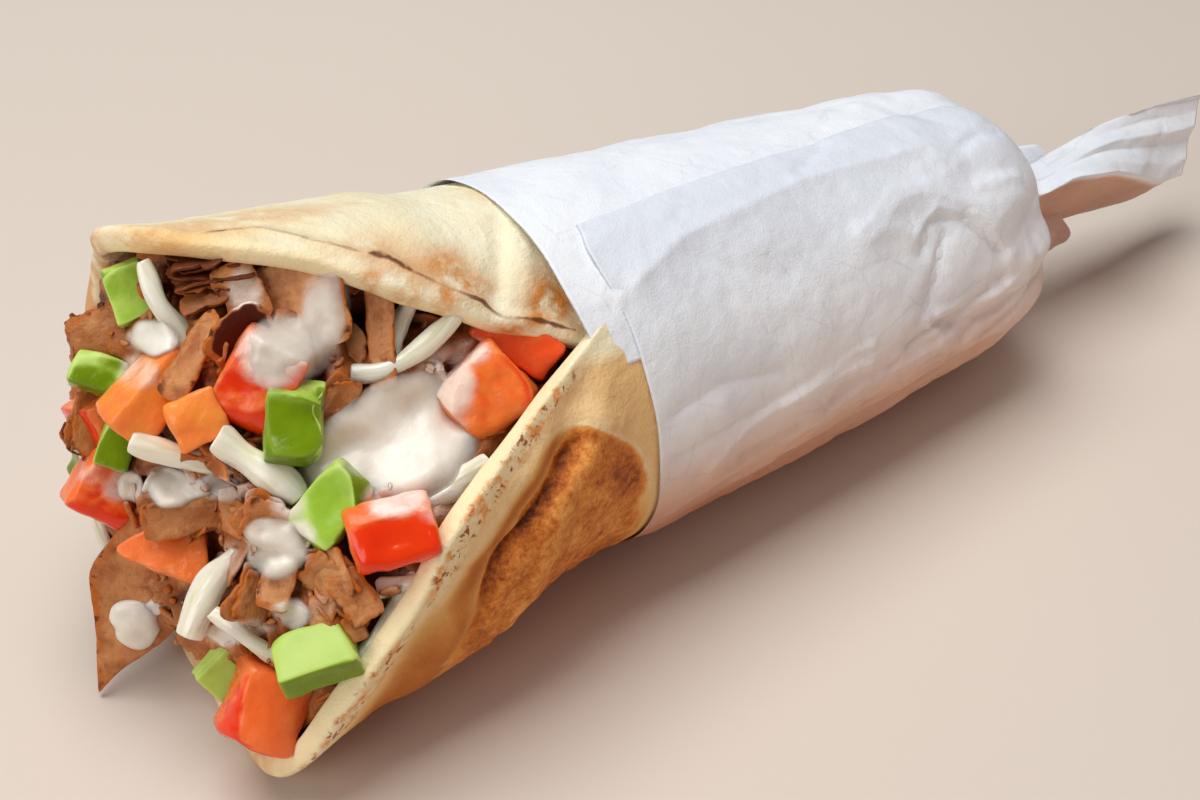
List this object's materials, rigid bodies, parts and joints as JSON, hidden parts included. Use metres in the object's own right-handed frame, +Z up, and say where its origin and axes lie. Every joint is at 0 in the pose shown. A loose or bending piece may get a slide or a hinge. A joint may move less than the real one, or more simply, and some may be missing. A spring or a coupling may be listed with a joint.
{
  "type": "doner kebab sandwich",
  "caption": "Doner kebab in rolled flatbread with meat, tomato, pepper, onion and sauce showing at its open end, wrapped in white paper twisted to a tail.",
  "frame": {"origin": "middle of the whole object's box, on the surface it lies on", "axes": "+X from the open end to the twisted paper tail, +Z up, -Y the side where the bread's flaps part"},
  "size_m": [0.2788, 0.0922, 0.0872],
  "materials": {
    "bread": "soft floury crust, toasted brown in patches",
    "paper": "thin white food paper, matt with a faint sheen, crumpled",
    "pepper": "moist raw green pepper",
    "tomato": "moist cut tomato, shiny skin",
    "onion": "translucent raw onion",
    "sauce": "thick glossy garlic sauce",
    "meat": "roasted sliced meat, browned edges, moist faces"
  },
  "bodies": {
    "root": {"flatbread": "bread", "paper_wrapper": "paper", "pepper_1": "pepper", "pepper_2": "pepper", "pepper_3": "pepper", "pepper_4": "pepper", "pepper_5": "pepper", "pepper_6": "pepper", "pepper_7": "pepper", "pepper_8": "pepper", "tomato_1": "tomato", "tomato_2": "tomato", "tomato_3": "tomato", "tomato_4": "tomato", "tomato_5": "tomato", "tomato_6": "tomato", "tomato_7": "tomato", "tomato_8": "tomato", "tomato_9": "tomato", "tomato_10": "tomato", "onion_1": "onion", "onion_2": "onion", "onion_3": "onion", "onion_4": "onion", "onion_5": "onion", "onion_6": "onion", "onion_7": "onion", "onion_8": "onion", "onion_9": "onion", "onion_10": "onion", "onion_11": "onion", "onion_12": "onion", "sauce_1": "sauce", "sauce_2": "sauce", "sauce_3": "sauce", "doner_meat": "meat"}
  },
  "joints": []
}
